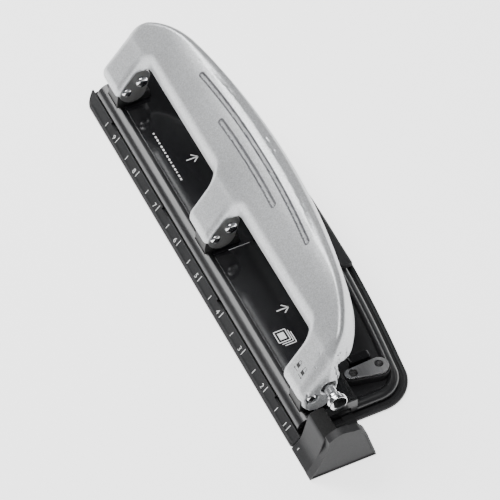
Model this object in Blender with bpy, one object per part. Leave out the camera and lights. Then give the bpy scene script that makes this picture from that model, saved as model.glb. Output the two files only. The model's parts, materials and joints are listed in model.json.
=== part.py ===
"""Three-hole desk punch: an arched lever handle on three legs over a low base, with a
chip tray, a sliding paper guide and a lock pin.

Frame: X runs along the paper edge towards the paper guide, Y runs from the operator to
the back, Z is up. The origin is on the table, under the middle hole's station, half way
between the front and the back edge. Sizes are in millimetres and scaled to metres at the
end of each helper.
"""

import math

import bmesh
import bpy
from mathutils import Vector

MM = 0.001

# Driving dimensions ---------------------------------------------------------------
HOLE_PITCH = 107.95                       # 4.25 in between neighbouring holes
STATIONS = (-HOLE_PITCH, 0.0, HOLE_PITCH)
HOLE_DIAMETER = 7.0
PAPER_EDGE_X = 139.7                      # half of an 11 in sheet: the guide's inner face

BASE_LEFT, BASE_RIGHT = -126.0, 123.2     # outer ends of the tray
BASE_FRONT, BASE_BACK = -38.3, 38.3
BACK_BOW = 0.000623                       # the back edge is a shallow arc, y = back - bow x^2
CORNER_BACK, CORNER_FRONT = 19.0, 9.0

FOOT_HEIGHT = 0.9
TRAY_BOTTOM, TRAY_FLOOR, TRAY_RIM = 0.6, 1.8, 3.0
TRAY_WALL = 2.4
RULER_TOP, RULER_BACK = 6.2, -33.4
PLATE_LOW, DECK = 3.2, 4.6
RIM_INSET, BEAD_WIDTH, BEAD_TOP = 3.0, 4.0, 5.6
DIE_LOW, DIE_TOP = 4.9, 6.0
THROAT_TOP, TROUGH_FLOOR = 8.4, 9.8
PANEL_THICK, PANEL_TOP = 1.2, 13.0
BODY_HALF, BODY_FRONT, BODY_BACK = 119.4, -32.2, -1.0
RIDGE_BACK = -25.8
STOP_Y = -4.5                             # where the sheets' edge comes to rest
PANEL_SEAM = 8.7

PIVOT = (-24.3, 25.0)                     # y, z of the handle's hinge line
DRIVE = (-15.8, 29.3)                     # y, z of the bolts that push the punch pins
PUNCH_Y = -15.4

LEG_HALF, SKIN = 10.4, 1.8
HANDLE_END = 118.3
HANDLE_FRONT, HANDLE_BACK = -30.5, 22.9
WINDOW_BACK, WINDOW_CORNER = -13.3, 7.0
ROLL = 9.0                                # width of the rolled edge at the back and the ends
BRACKET_IN, BRACKET_OUT = 6.4, 8.2
TOWER_HALF = 5.6
GAP = 0.3

COLOURS = {
    "silver": ((0.62, 0.63, 0.64), 0.38, 0.85),
    "gloss_black": ((0.012, 0.012, 0.013), 0.12, 0.0),
    "matte_grey": ((0.065, 0.066, 0.068), 0.55, 0.0),
    "bracket_steel": ((0.30, 0.30, 0.30), 0.42, 0.9),
    "chrome": ((0.78, 0.78, 0.78), 0.08, 1.0),
    "steel": ((0.55, 0.55, 0.55), 0.28, 1.0),
    "dark_steel": ((0.10, 0.10, 0.10), 0.40, 0.8),
    "rubber": ((0.02, 0.02, 0.02), 0.85, 0.0),
}


# Scene and materials --------------------------------------------------------------
def clear_scene():
    for old in list(bpy.data.objects):
        bpy.data.objects.remove(old)


def material(name):
    found = bpy.data.materials.get(name)
    if found:
        return found
    colour, roughness, metallic = COLOURS[name]
    made = bpy.data.materials.new(name)
    made.use_nodes = True
    shader = made.node_tree.nodes["Principled BSDF"]
    shader.inputs["Base Color"].default_value = (*colour, 1.0)
    shader.inputs["Roughness"].default_value = roughness
    shader.inputs["Metallic"].default_value = metallic
    return made


def add_object(name, bm, finish=None):
    """The mesh, in millimetres, as an object in metres; with no finish it is a cutter."""
    bmesh.ops.recalc_face_normals(bm, faces=bm.faces)
    bmesh.ops.scale(bm, vec=(MM, MM, MM), verts=bm.verts)
    mesh = bpy.data.meshes.new(name)
    bm.to_mesh(mesh)
    bm.free()
    obj = bpy.data.objects.new(name, mesh)
    bpy.context.scene.collection.objects.link(obj)
    if finish:
        mesh.materials.append(material(finish))
    else:
        obj.hide_render = True
        obj.display_type = "WIRE"
    return obj


def boolean(obj, tool, operation="DIFFERENCE", solver="EXACT"):
    modifier = obj.modifiers.new(tool.name, "BOOLEAN")
    modifier.operation = operation
    modifier.object = tool
    modifier.solver = solver


def weld(obj, tool, operation="DIFFERENCE"):
    """A cut between the handle's closed shapes, where the exact solver leaves open edges."""
    boolean(obj, tool, operation, "MANIFOLD")


# Outlines, in two dimensions ------------------------------------------------------
def arc(centre, radius, start, end, steps):
    """Points on an arc, angles in degrees."""
    angles = [math.radians(start + (end - start) * i / steps) for i in range(steps + 1)]
    return [(centre[0] + radius * math.cos(a), centre[1] + radius * math.sin(a)) for a in angles]


def rectangle(x0, x1, y0, y1):
    return [(x0, y0), (x1, y0), (x1, y1), (x0, y1)]


def back_edge(x, inset=0.0):
    return BASE_BACK - inset - BACK_BOW * x * x


def base_outline(inset, steps=5):
    """The base's plan, moved inwards: straight front and ends, bowed back, round corners."""
    left, right, front = BASE_LEFT + inset, BASE_RIGHT - inset, BASE_FRONT + inset
    small = max(CORNER_FRONT - inset, 1.5)
    large = max(CORNER_BACK - inset, 3.0)
    points = arc((left + small, front + small), small, 180, 270, steps)
    points += arc((right - 2.0, front + 2.0), 2.0, 270, 360, 2)
    y = back_edge(right - large, inset) - large
    points += arc((right - large, y), large, 0, 80, steps)
    count = 9
    span = (left + large, right - large)
    for i in range(1, count):
        x = span[1] + (span[0] - span[1]) * i / count
        points.append((x, back_edge(x, inset)))
    y = back_edge(left + large, inset) - large
    points += arc((left + large, y), large, 100, 180, steps)
    return points


# Solids ---------------------------------------------------------------------------
def prism(name, outline, low, high, axis="Z", finish=None):
    """An outline swept along an axis. Its points are (x, y) for Z and (y, z) for X."""
    bm = bmesh.new()
    for level in (low, high):
        for a, b in outline:
            bm.verts.new((a, b, level) if axis == "Z" else (level, a, b))
    bm.verts.ensure_lookup_table()
    count = len(outline)
    bm.faces.new(bm.verts[:count])
    bm.faces.new(bm.verts[count:])
    for i in range(count):
        j = (i + 1) % count
        bm.faces.new((bm.verts[i], bm.verts[j], bm.verts[count + j], bm.verts[count + i]))
    return add_object(name, bm, finish)


def box(name, x, y, z, finish=None):
    return prism(name, rectangle(*x, *y), *z, finish=finish)


def turned(name, profile, centre, axis="X", finish=None, steps=20):
    """A profile of (position along the axis, radius) turned about the axis through centre."""
    bm = bmesh.new()
    rings = []
    for along, radius in profile:
        ring = []
        for i in range(steps):
            angle = 2 * math.pi * i / steps
            a = centre[0] + radius * math.cos(angle)
            b = centre[1] + radius * math.sin(angle)
            ring.append(bm.verts.new((along, a, b) if axis == "X" else (a, b, along)))
        rings.append(ring)
    bm.faces.new(rings[0])
    bm.faces.new(rings[-1])
    for one, two in zip(rings, rings[1:]):
        for i in range(steps):
            j = (i + 1) % steps
            bm.faces.new((one[i], one[j], two[j], two[i]))
    obj = add_object(name, bm, finish)
    obj.data.shade_smooth()
    obj.data.set_sharp_from_angle(angle=math.radians(35))
    return obj


def spring(name, centre, low, high, radius, wire, turns, finish):
    """A coil spring about a vertical axis, as one swept tube with closed ends."""
    bm = bmesh.new()
    per_turn, sides = 12, 6
    rings = []
    for i in range(turns * per_turn + 1):
        turn = 2 * math.pi * i / per_turn
        z = low + wire + (high - low - 2 * wire) * i / (turns * per_turn)
        outward = Vector((math.cos(turn), math.sin(turn), 0))
        middle = Vector((*centre, z)) + outward * radius
        ring = []
        for k in range(sides):
            a = 2 * math.pi * k / sides
            offset = outward * math.cos(a) + Vector((0, 0, 1)) * math.sin(a)
            ring.append(bm.verts.new(middle + offset * wire))
        rings.append(ring)
    bm.faces.new(rings[0])
    bm.faces.new(rings[-1])
    for one, two in zip(rings, rings[1:]):
        for k in range(sides):
            n = (k + 1) % sides
            bm.faces.new((one[k], one[n], two[n], two[k]))
    return add_object(name, bm, finish)


# The tray and what is fixed to it --------------------------------------------------
GUIDE_TONGUE_Y = (-9.6, -3.6)
FEET = ((-108.0, -24.0), (104.0, -24.0), (-100.0, 20.0), (98.0, 20.0), (0.0, 0.0))
FOOT_RADIUS = 6.0


def make_tray():
    """A shallow pan that catches the chips. Its front edge is the sloping ruler."""
    tray = prism("chip_tray", base_outline(0.0), TRAY_BOTTOM, TRAY_RIM, finish="matte_grey")
    front = BASE_FRONT
    ruler = [
        (front, TRAY_BOTTOM),
        (RULER_BACK + 2.0, TRAY_BOTTOM),
        (RULER_BACK + 0.6, RULER_TOP),
        (RULER_BACK, RULER_TOP),
        (front, TRAY_BOTTOM + 0.7),
    ]
    far_end = BASE_LEFT + CORNER_FRONT - 1.0
    boolean(tray, prism("ruler_shape", ruler, far_end, BASE_RIGHT, axis="X"), "UNION")
    slope = [(front - 4.0, -3.03), (front - 4.0, 9), (RULER_BACK + 2.6, 9)]
    boolean(tray, prism("ruler_slope", slope, BASE_LEFT - 5, BASE_RIGHT + 5, axis="X"))
    hollow = [(x, max(y, RULER_BACK + 0.7)) for x, y in base_outline(TRAY_WALL)]
    boolean(tray, prism("tray_hollow", hollow, TRAY_FLOOR, 12))
    y0, y1 = GUIDE_TONGUE_Y
    boolean(tray, box("tongue_notch", (110, 130), (y0 - 0.5, y1 + 0.5), (TRAY_FLOOR, 8)))
    for i, (x, y) in enumerate(FEET, 1):
        wide = FOOT_RADIUS + GAP
        recess = turned(f"foot_recess_{i}", [(0, wide), (FOOT_HEIGHT + GAP, wide)], (x, y), "Z")
        boolean(tray, recess)
        foot = [(0, FOOT_RADIUS - 0.4), (0.3, FOOT_RADIUS), (FOOT_HEIGHT, FOOT_RADIUS)]
        turned(f"rubber_foot_{i}", foot, (x, y), "Z", "rubber")


# The base housing -------------------------------------------------------------------
def ridge_profile():
    """The body's front edge: a quarter of an ellipse from the throat up to the panel."""
    width, height = RIDGE_BACK - BODY_FRONT, PANEL_TOP - THROAT_TOP
    steps = 6
    points = []
    for i in range(steps + 1):
        a = math.pi / 2 * i / steps
        points.append((RIDGE_BACK - width * math.cos(a), THROAT_TOP + height * math.sin(a)))
    return points


def make_housing():
    """Deck with a rounded rim, and the raised body over the paper throat."""
    plan = [(x, max(y, BODY_FRONT)) for x, y in base_outline(RIM_INSET)]
    housing = prism("base_housing", plan, PLATE_LOW, DECK, finish="gloss_black")
    boolean(housing, prism("bead_shape", plan, DECK - 0.7, BEAD_TOP), "UNION")
    inner = RIM_INSET + BEAD_WIDTH
    boolean(housing, prism("deck_recess", base_outline(inner), DECK, 8))
    throat = (BASE_LEFT + inner + 0.01, BASE_RIGHT - inner - 0.01)
    boolean(housing, box("throat_floor", throat, (-60, STOP_Y), (DECK, 8)))
    section = ridge_profile() + [
        (BODY_BACK, PANEL_TOP),
        (BODY_BACK, PLATE_LOW + 0.5),
        (STOP_Y, PLATE_LOW + 0.5),
        (STOP_Y, THROAT_TOP),
    ]
    body = prism("body_shape", section, -BODY_HALF, BODY_HALF, axis="X")
    boolean(housing, body, "UNION")
    trough = box("body_trough", (-117.4, 117.4), (-27.6, BODY_BACK - 1.8), (TROUGH_FLOOR, 20))
    ledge_z = (PANEL_TOP - PANEL_THICK - GAP, 20)
    ledge = box("panel_ledge", (-118.4, 118.4), (RIDGE_BACK, BODY_BACK - 0.8), ledge_z)
    boolean(housing, trough)
    boolean(housing, ledge)
    for i, x in enumerate(STATIONS, 1):
        slot = box(f"tower_slot_{i}", (x - 6, x + 6), (-29.2, RIDGE_BACK + 1), (TROUGH_FLOOR, 20))
        boolean(housing, slot)
        hole = turned(f"pin_hole_{i}", [(1, 3.8), (12, 3.8)], (x, PUNCH_Y), "Z")
        boolean(housing, hole)
        drop = turned(f"chip_hole_{i}", [(1, 5.0), (DECK + 0.2, 5.0)], (x, PUNCH_Y), "Z")
        boolean(housing, drop)


def make_panels():
    """The two glossy lids over the body, cut out round the punch towers."""
    y, z = (RIDGE_BACK + GAP, BODY_BACK - 0.8 - GAP), (PANEL_TOP - PANEL_THICK, PANEL_TOP)
    ends = {
        "top_panel_left": (-118.1, PANEL_SEAM - 0.15),
        "top_panel_right": (PANEL_SEAM + 0.15, 118.1),
    }
    for name, span in ends.items():
        box(name, span, y, z, "gloss_black")
    for i, x in enumerate(STATIONS, 1):
        cut = box(f"panel_cut_{i}", (x - 6.1, x + 6.1), (-40, -10.0), (5, 20))
        for name, span in ends.items():
            if span[0] - 6 < x < span[1] + 6:
                boolean(bpy.data.objects[name], cut)


def make_die_plate():
    ends, depth = (-116.6, 113.8), (BODY_FRONT, STOP_Y - 1.6)
    plate = box("die_plate", ends, depth, (DIE_LOW, DIE_TOP), "steel")
    for i, x in enumerate(STATIONS, 1):
        die = turned(f"die_hole_{i}", [(0, 3.6), (9, 3.6)], (x, PUNCH_Y), "Z", steps=24)
        boolean(plate, die)
    stop_y, stop_z = (STOP_Y - 1.3, STOP_Y - GAP), (DIE_LOW, THROAT_TOP - GAP)
    box("paper_stop", (-112, 112), stop_y, stop_z, "matte_grey")


# Strap anchors at the two ends of the deck ------------------------------------------
STRAP_LOW, STRAP_TOP = 9.2, 10.4
STRAP_RIVETS = ((102.6, 18.7, 1.9), (102.5, 5.1, 1.9))


def strap_outline(grow=0.0):
    """A teardrop, wide and round at the back and narrow at the front."""
    back, front = (103.6, 18.2), (102.4, 3.4)
    wide, narrow = 4.9 + grow, 2.9 + grow
    return arc(back, wide, -10, 190, 8) + arc(front, narrow, 190, 350, 6)


def mirrored(points):
    return [(-x, y) for x, y in reversed(points)]


def make_straps():
    for side, turn in (("right", 1), ("left", -1)):
        plan = strap_outline() if turn > 0 else mirrored(strap_outline())
        strap = prism(f"anchor_strap_{side}", plan, STRAP_LOW, STRAP_TOP, finish="steel")
        foot = strap_outline(0.6) if turn > 0 else mirrored(strap_outline(0.6))
        span = (DECK + GAP, STRAP_LOW - GAP)
        post = prism(f"strap_pedestal_{side}", foot, *span, finish="matte_grey")
        for place, (x, y, radius) in zip(("rear", "front"), STRAP_RIVETS):
            x *= turn
            profile = [(6.0, radius), (STRAP_TOP + 0.5, radius), (STRAP_TOP + 0.9, radius - 0.6)]
            turned(f"strap_rivet_{side}_{place}", profile, (x, y), "Z", "dark_steel", 16)
            wall = [(5.7, radius + GAP), (20, radius + GAP)]
            hole = turned(f"rivet_hole_{side}_{place}", wall, (x, y), "Z")
            boolean(strap, hole)
            boolean(post, hole)


def make_rear_rest():
    """The raised block at the middle of the back, behind the handle."""
    front, back, half, top = 27.0, 35.7, 40.0, 10.0
    side = [
        (front, BEAD_TOP + GAP),
        (back, BEAD_TOP + GAP),
        (back, top - 1.2),
        (back - 1.2, top),
        (front + 2.5, top),
        (front, top - 2.5),
    ]
    prism("rear_rest", side, -half, half, axis="X", finish="matte_grey")


# Punch stations ---------------------------------------------------------------------
TOWER_BASE = (-28.9, -10.4)
TOWER_LOW, TOWER_SEAT = 10.1, 17.5
LOCKED = (PIVOT[0] + 9.52, PIVOT[1] + 0.47)  # where the lock pin is when the handle is down


def make_tower(i, x):
    """The fixed steel frame that holds the hinge bolt and guides the punch pin."""
    py, pz = PIVOT
    section = [(TOWER_BASE[0], TOWER_LOW), (TOWER_BASE[1], TOWER_LOW), (TOWER_BASE[1], TOWER_SEAT)]
    section += [(-20.4, TOWER_SEAT), (-20.4, pz)]
    section += arc((py, pz), 3.9, 0, 180, 8)
    section += [(py - 3.9, 20.0), (TOWER_BASE[0], 16.0)]
    tower = prism(f"punch_tower_{i}", section, x - TOWER_HALF, x + TOWER_HALF, "X", "dark_steel")
    boolean(tower, turned(f"tower_pivot_{i}", [(x - 9, 1.8), (x + 9, 1.8)], PIVOT))
    boolean(tower, turned(f"tower_bore_{i}", [(9, 3.7), (19, 3.7)], (x, PUNCH_Y), "Z"))
    if i == 3:
        ear = [(-19.2, 16), (-12.2, 16), (-12.2, 28), (-14.4, 31), (-18, 31), (-19.2, 29.5)]
        boolean(tower, prism("lock_ear", ear, x + 4.5, x + TOWER_HALF, "X"), "UNION")
        for place, centre in (("open", DRIVE), ("down", LOCKED)):
            boolean(tower, turned(f"lock_hole_{place}", [(x + 4, 1.5), (x + 7, 1.5)], centre))
        boolean(tower, turned("lock_bore", [(16.6, 4.4), (17.6, 4.4)], (x, PUNCH_Y), "Z"))


def make_pivot_bolt(i, x):
    """A hinge bolt with a domed head on each side of the bracket."""
    inner, outer = BRACKET_OUT + GAP, BRACKET_OUT + 1.9
    head = [(-outer, 1.0), (-outer + 0.5, 2.0), (-inner - 0.6, 2.6), (-inner, 2.6), (-inner, 1.6)]
    profile = head + [(-along, radius) for along, radius in reversed(head)]
    profile = [(x + along, radius) for along, radius in profile]
    turned(f"pivot_bolt_{i}", profile, PIVOT, "X", "chrome")


def make_punch(i, x):
    """A punch pin whose flat head is slotted for the drive bolt, and its return spring."""
    radius = HOLE_DIAMETER / 2
    tip, head_low, head_top = 8.7, 26.0, 32.8
    shank = [(tip, radius), (head_low + 1, radius)]
    pin = turned(f"punch_pin_{i}", shank, (x, PUNCH_Y), "Z", "steel", 24)
    head = box(f"pin_head_{i}", (x - 3.2, x + 3.2), (-20.1, -10.0), (head_low, head_top))
    boolean(pin, head, "UNION")
    y, z = DRIVE
    slot = arc((y + 1.3, z), 2.35, -90, 90, 6) + arc((y - 0.3, z), 2.35, 90, 270, 6)
    boolean(pin, prism(f"pin_slot_{i}", slot, x - 5, x + 5, "X"))
    low, high = TOWER_SEAT + 0.2, head_low - 0.2
    spring(f"return_spring_{i}", (x, PUNCH_Y), low, high, 4.15, 0.35, 4, "steel")


# The handle -------------------------------------------------------------------------
# Heights of the skin: up the front slope by y, and up from the back edge by the distance to it.
FRONT_SLOPE = (
    (-30.5, 28.7), (-27.5, 32.7), (-17.4, 46.1), (-13.3, 51.6), (-6.9, 58.0), (0.0, 64.0),
    (6.0, 68.0), (12.0, 71.0), (30.0, 76.0),
)
BACK_SLOPE = (
    (0.0, 40.5), (1.0, 45.5), (3.5, 56.0), (7.5, 65.6), (12.5, 69.0), (18.0, 71.0), (60.0, 78.0),
)
FRONT_RISE, BACK_RISE = 1.0e-6, 1.3e-5    # both slopes rise towards the ends with the square of x
HANDLE_BOW = 0.00144                      # y of the back edge = back - bow x^2 - the corner's share
CORNER_START, CORNER_END, CORNER_DEPTH = 82.0, 121.5, 19.0
HANDLE_STATIONS = (0, 15, 30, 45, 60, 75, 86, 96, 103, 108.5, 112.5, 115.5, 117.4, HANDLE_END)
HANDLE_SHARES = (0, 0.055, 0.15, 0.3, 0.42, 0.52, 0.61, 0.69, 0.77, 0.85, 0.92, 0.965, 0.99, 1.0)


def along(points, value):
    """The height at a value, read off straight lines between the points."""
    for (a0, z0), (a1, z1) in zip(points, points[1:]):
        if value <= a1:
            return z0 + (z1 - z0) * (value - a0) / (a1 - a0)
    return points[-1][1]


def handle_back(x):
    """How far back the handle reaches: a bow, then a round corner at each end."""
    x = abs(x)
    turn = max(0.0, (x - CORNER_START) / (CORNER_END - CORNER_START))
    return HANDLE_BACK - HANDLE_BOW * x * x - CORNER_DEPTH * (1 - math.sqrt(1 - turn * turn))


def skin_height(part, x):
    """Height of the handle's skin at a share of the way back, with the ends rolled off."""
    x = abs(x)
    back = handle_back(x)
    y = HANDLE_FRONT + (back - HANDLE_FRONT) * part
    lean = handle_back(x - 1) - back
    inward = (back - y) / math.hypot(1, lean)
    foot = FRONT_SLOPE[0][1]
    front = foot + (along(FRONT_SLOPE, y) - foot) * (1 + FRONT_RISE * x * x)
    rear = foot + (along(BACK_SLOPE, inward) - foot) * (1 + BACK_RISE * x * x)
    height = min(front, rear)
    from_end = HANDLE_END - x
    if from_end < ROLL:
        height -= ROLL * (1 - math.sqrt(1 - (1 - from_end / ROLL) ** 2)) * min(1, part * 4)
    return height


def handle_solid(name, inset, low, finish=None):
    """The handle's outside as a solid; with an inset, the space inside its skin."""
    bm = bmesh.new()
    scale = (HANDLE_END - inset) / HANDLE_END
    stations = [-x for x in reversed(HANDLE_STATIONS[1:])] + list(HANDLE_STATIONS)
    grid = []
    for x in stations:
        front, back = HANDLE_FRONT + inset, handle_back(x) - inset
        row = []
        for part in HANDLE_SHARES:
            y = front + (back - front) * part
            z = skin_height(part, x) - inset * (1.35 if part < 0.95 else 1.0)
            row.append(bm.verts.new((x * scale, y, z)))
        grid.append(row)
    for one, two in zip(grid, grid[1:]):
        for i in range(len(HANDLE_SHARES) - 1):
            bm.faces.new((one[i], one[i + 1], two[i + 1], two[i]))
    loop = [row[0] for row in grid] + grid[-1][1:]
    loop += [row[-1] for row in grid[-2::-1]] + grid[0][-2:0:-1]
    floor = [bm.verts.new((v.co.x, v.co.y, low)) for v in loop]
    for i in range(len(loop)):
        j = (i + 1) % len(loop)
        bm.faces.new((loop[i], loop[j], floor[j], floor[i]))
    bm.faces.new(floor)
    bmesh.ops.triangulate(bm, faces=[f for f in bm.faces if len(f.verts) == 4])
    return add_object(name, bm, finish)


def window_outline(left, right, grow):
    """Plan of the opening between two legs, with round corners at the back."""
    x0, x1 = left + LEG_HALF - grow, right - LEG_HALF + grow
    back, radius = WINDOW_BACK + grow, WINDOW_CORNER
    points = [(x0, -60), (x1, -60)]
    points += arc((x1 - radius, back - radius), radius, 0, 90, 5)
    points += arc((x0 + radius, back - radius), radius, 90, 180, 5)
    return points


def make_handle():
    """The arched shell: three legs at the front joined by a broad spine."""
    shell = handle_solid("handle_shell", 0.0, 12.0, "silver")
    rear_rim = (40, 36.5)
    flank = [
        (-45, 25), (-31, 25), (-29.4, 20.4), (-26.2, 17.0), (-22.4, 15.8), (-18.4, 16.4),
        (-14.4, 19.2), (-12.2, 24), (-9.3, 33), (-4.5, 38.2), rear_rim, (40, -5), (-45, -5),
    ]
    inner = [
        (-45, 24.8), (-28.2, 24.8), (-25.6, 30.6), (-18.8, 38.6), (-15.4, 40.2), (WINDOW_BACK, 43.2),
        (-4, 40), rear_rim, (40, -6), (-45, -6),
    ]
    weld(shell, prism("flank_cut", flank, -130, 130, "X"))
    reach = HOLE_PITCH + LEG_HALF - 2.0
    weld(shell, prism("inner_cut", inner, -reach, reach, "X"))
    cavity = handle_solid("handle_cavity", SKIN, 8.0)
    for i, (left, right) in enumerate(zip(STATIONS, STATIONS[1:]), 1):
        weld(cavity, prism(f"wall_keep_{i}", window_outline(left, right, SKIN), 0, 90))
        weld(shell, prism(f"window_{i}", window_outline(left, right, 0.0), -2, 95))
    weld(shell, cavity)
    for side, (low, high) in (("far", (-125.0, -112.0)), ("near", (112.0, 125.0))):
        weld(shell, turned(f"screw_hole_{side}", [(low, 3.1), (high, 3.1)], PIVOT))
        weld(shell, turned(f"drive_hole_{side}", [(low, 3.9), (high, 3.9)], DRIVE))


def bracket_outline():
    """The leaf-shaped side plate, round at the bottom and drawn out towards the top."""
    points = arc((-20.6, 23.4), 7.4, 150, 340, 10)
    points += arc((-16.0, 31.6), 5.4, -5, 50, 4)
    points += arc((-16.6, 35.0), 3.2, 60, 150, 4)
    points += [(-23.6, 31.6)]
    return points


def make_bracket(i, x):
    """A folded steel bracket inside each leg: two leaf plates joined by a web."""
    width = (x - BRACKET_OUT, x + BRACKET_OUT)
    bracket = prism(f"lever_bracket_{i}", bracket_outline(), *width, "X", "bracket_steel")
    gap_low = [(-40, 5), (0, 5), (0, 30), (-12.9, 36.2), (-21.0, 36.2), (-40, 36.2)]
    boolean(bracket, prism(f"bracket_gap_{i}", gap_low, x - BRACKET_IN, x + BRACKET_IN, "X"))
    boolean(bracket, turned(f"bracket_pivot_{i}", [(x - 12, 1.85), (x + 12, 1.85)], PIVOT))
    boolean(bracket, turned(f"bracket_drive_{i}", [(x - 12, 2.3), (x + 4, 2.3)], DRIVE))
    near = 2.8 if i == 3 else 2.3
    boolean(bracket, turned(f"bracket_near_{i}", [(x + 4, near), (x + 12, near)], DRIVE))


def make_drive_bolt(i, x):
    """The cross bolt that pushes the punch pin. The third stops short for the lock pin."""
    inner, outer = BRACKET_OUT + GAP, BRACKET_OUT + 2.2
    head = [(-outer, 1.3), (-outer + 0.6, 2.7), (-inner - 0.6, 3.4), (-inner, 3.4), (-inner, 2.0)]
    if i == 3:
        profile = head + [(3.6, 2.0)]
    else:
        profile = head + [(-along, radius) for along, radius in reversed(head)]
    turned(f"drive_bolt_{i}", [(x + along, radius) for along, radius in profile], DRIVE, "X", "chrome")


def make_lock_pin():
    """The push pin at the guide end: a thin tip, a stepped shank and a dished head."""
    x = STATIONS[2]
    profile = [
        (6.0, 1.1), (8.7, 1.1), (8.7, 2.5), (15.4, 2.8), (16.0, 3.5), (18.0, 3.5),
        (18.3, 4.8), (19.0, 5.0), (20.6, 5.0), (20.9, 4.4), (20.0, 3.2), (19.7, 0.8),
    ]
    turned("lock_pin", [(x + along, radius) for along, radius in profile], DRIVE, "X", "chrome", 28)


# The paper guide ----------------------------------------------------------------------
def make_guide():
    """A sliding end stop: a block shaped like the ruler, with a tall round-topped fin."""
    foot = 0.5
    block = [
        (BASE_FRONT, foot), (-21.0, foot), (-20.4, 22.6), (-21.4, 23.9), (-28.0, 23.7),
        (-29.8, 21.0), (-31.6, 13.0), (RULER_BACK, RULER_TOP), (BASE_FRONT, foot + 0.8),
    ]
    inner, outer = BASE_RIGHT + 0.4, PAPER_EDGE_X + 1
    guide = prism("paper_guide", block, inner, outer, "X", "matte_grey")
    front = BASE_FRONT
    fin = [(front, foot), (front + 0.2, foot + 1.2), (front + 6, 11), (front + 10, 20)]
    fin += arc((front + 18.0, 17.2), 9.8, 130, 62, 5)
    fin += arc((front + 19.2, 16.0), 11.6, 52, 12, 4)
    fin += [(front + 33.8, 7.4), (front + 35.0, foot)]
    boolean(guide, prism("fin_shape", fin, PAPER_EDGE_X, PAPER_EDGE_X + 4.3, "X"), "UNION")
    y0, y1 = GUIDE_TONGUE_Y
    tongue_z = (TRAY_FLOOR + 0.2, PLATE_LOW - 0.25)
    boolean(guide, box("guide_foot", (inner, outer), (-22, y1), tongue_z), "UNION")
    boolean(guide, box("guide_tongue", (72, BASE_RIGHT + 2), (y0, y1), tongue_z), "UNION")


def main():
    clear_scene()
    make_tray()
    make_housing()
    make_panels()
    make_die_plate()
    make_straps()
    make_rear_rest()
    make_handle()
    make_lock_pin()
    make_guide()
    for i, x in enumerate(STATIONS, 1):
        make_tower(i, x)
        make_pivot_bolt(i, x)
        make_punch(i, x)
        make_bracket(i, x)
        make_drive_bolt(i, x)


main()
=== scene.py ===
"""Looks of the three-hole desk punch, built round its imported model.

Lengths are in millimetres and become metres where an object is made. X runs along the paper
edge to the guide, Y from the front to the back, Z is up.
"""

import itertools
import json
import math

import bmesh
import bpy
import numpy as np
from mathutils import Matrix, Vector


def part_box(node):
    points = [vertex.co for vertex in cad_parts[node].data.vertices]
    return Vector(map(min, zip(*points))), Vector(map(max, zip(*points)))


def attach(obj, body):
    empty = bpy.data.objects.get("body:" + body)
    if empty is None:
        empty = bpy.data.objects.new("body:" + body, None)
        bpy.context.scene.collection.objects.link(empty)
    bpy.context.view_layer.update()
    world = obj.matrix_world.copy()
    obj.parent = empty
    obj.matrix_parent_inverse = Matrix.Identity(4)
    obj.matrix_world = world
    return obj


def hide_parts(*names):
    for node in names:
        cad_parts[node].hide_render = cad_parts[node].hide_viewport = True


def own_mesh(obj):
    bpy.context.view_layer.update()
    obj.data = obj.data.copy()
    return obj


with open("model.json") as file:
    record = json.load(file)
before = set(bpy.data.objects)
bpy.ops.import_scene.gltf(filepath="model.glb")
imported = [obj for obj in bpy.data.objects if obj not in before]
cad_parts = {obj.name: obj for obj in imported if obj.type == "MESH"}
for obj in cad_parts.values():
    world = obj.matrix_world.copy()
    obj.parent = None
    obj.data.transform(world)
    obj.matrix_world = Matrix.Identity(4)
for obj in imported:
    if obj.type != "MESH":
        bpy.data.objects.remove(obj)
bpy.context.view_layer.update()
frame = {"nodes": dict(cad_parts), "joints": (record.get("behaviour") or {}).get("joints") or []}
MM = 0.001
INCH = 25.4
# The ruler counts inches from the sheets' end, at the guide.
PAPER_EDGE = 139.7


def low(node):
    """A CAD node's lowest corner."""
    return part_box(node)[0] / MM


def high(node):
    """A CAD node's highest corner."""
    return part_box(node)[1] / MM


def middle(node):
    """The middle of a CAD node's box."""
    return (low(node) + high(node)) / 2


# What the frame says --------------------------------------------------------------
HINGE = next(j for j in frame["joints"] if j["name"] == "handle_hinge")["pos_m"]
PIVOT = (HINGE[1] / MM, HINGE[2] / MM)
DRIVE = tuple(middle("drive_bolt_1"))[1:]
STATIONS = [round(middle(f"punch_pin_{i}").x, 2) for i in (1, 2, 3)]
PUNCH_Y = middle("return_spring_1").y
TRAY_LOW, TRAY_HIGH = low("chip_tray"), high("chip_tray")
PANEL_TOP = high("top_panel_left").z
HANDLE_LOW, HANDLE_HIGH = low("handle_shell"), high("handle_shell")
GUIDE_LOW, GUIDE_HIGH = low("paper_guide"), high("paper_guide")
GUIDE_INNER = TRAY_HIGH.x + 0.4


# Materials --------------------------------------------------------------------------
def add_node(tree, kind, **values):
    """A shader node, with its settings and inputs by name."""
    node = tree.nodes.new("ShaderNode" + kind)
    for name, value in values.items():
        if hasattr(node, name):
            setattr(node, name, value)
        else:
            node.inputs[name.replace("_", " ")].default_value = value
    return node


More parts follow.
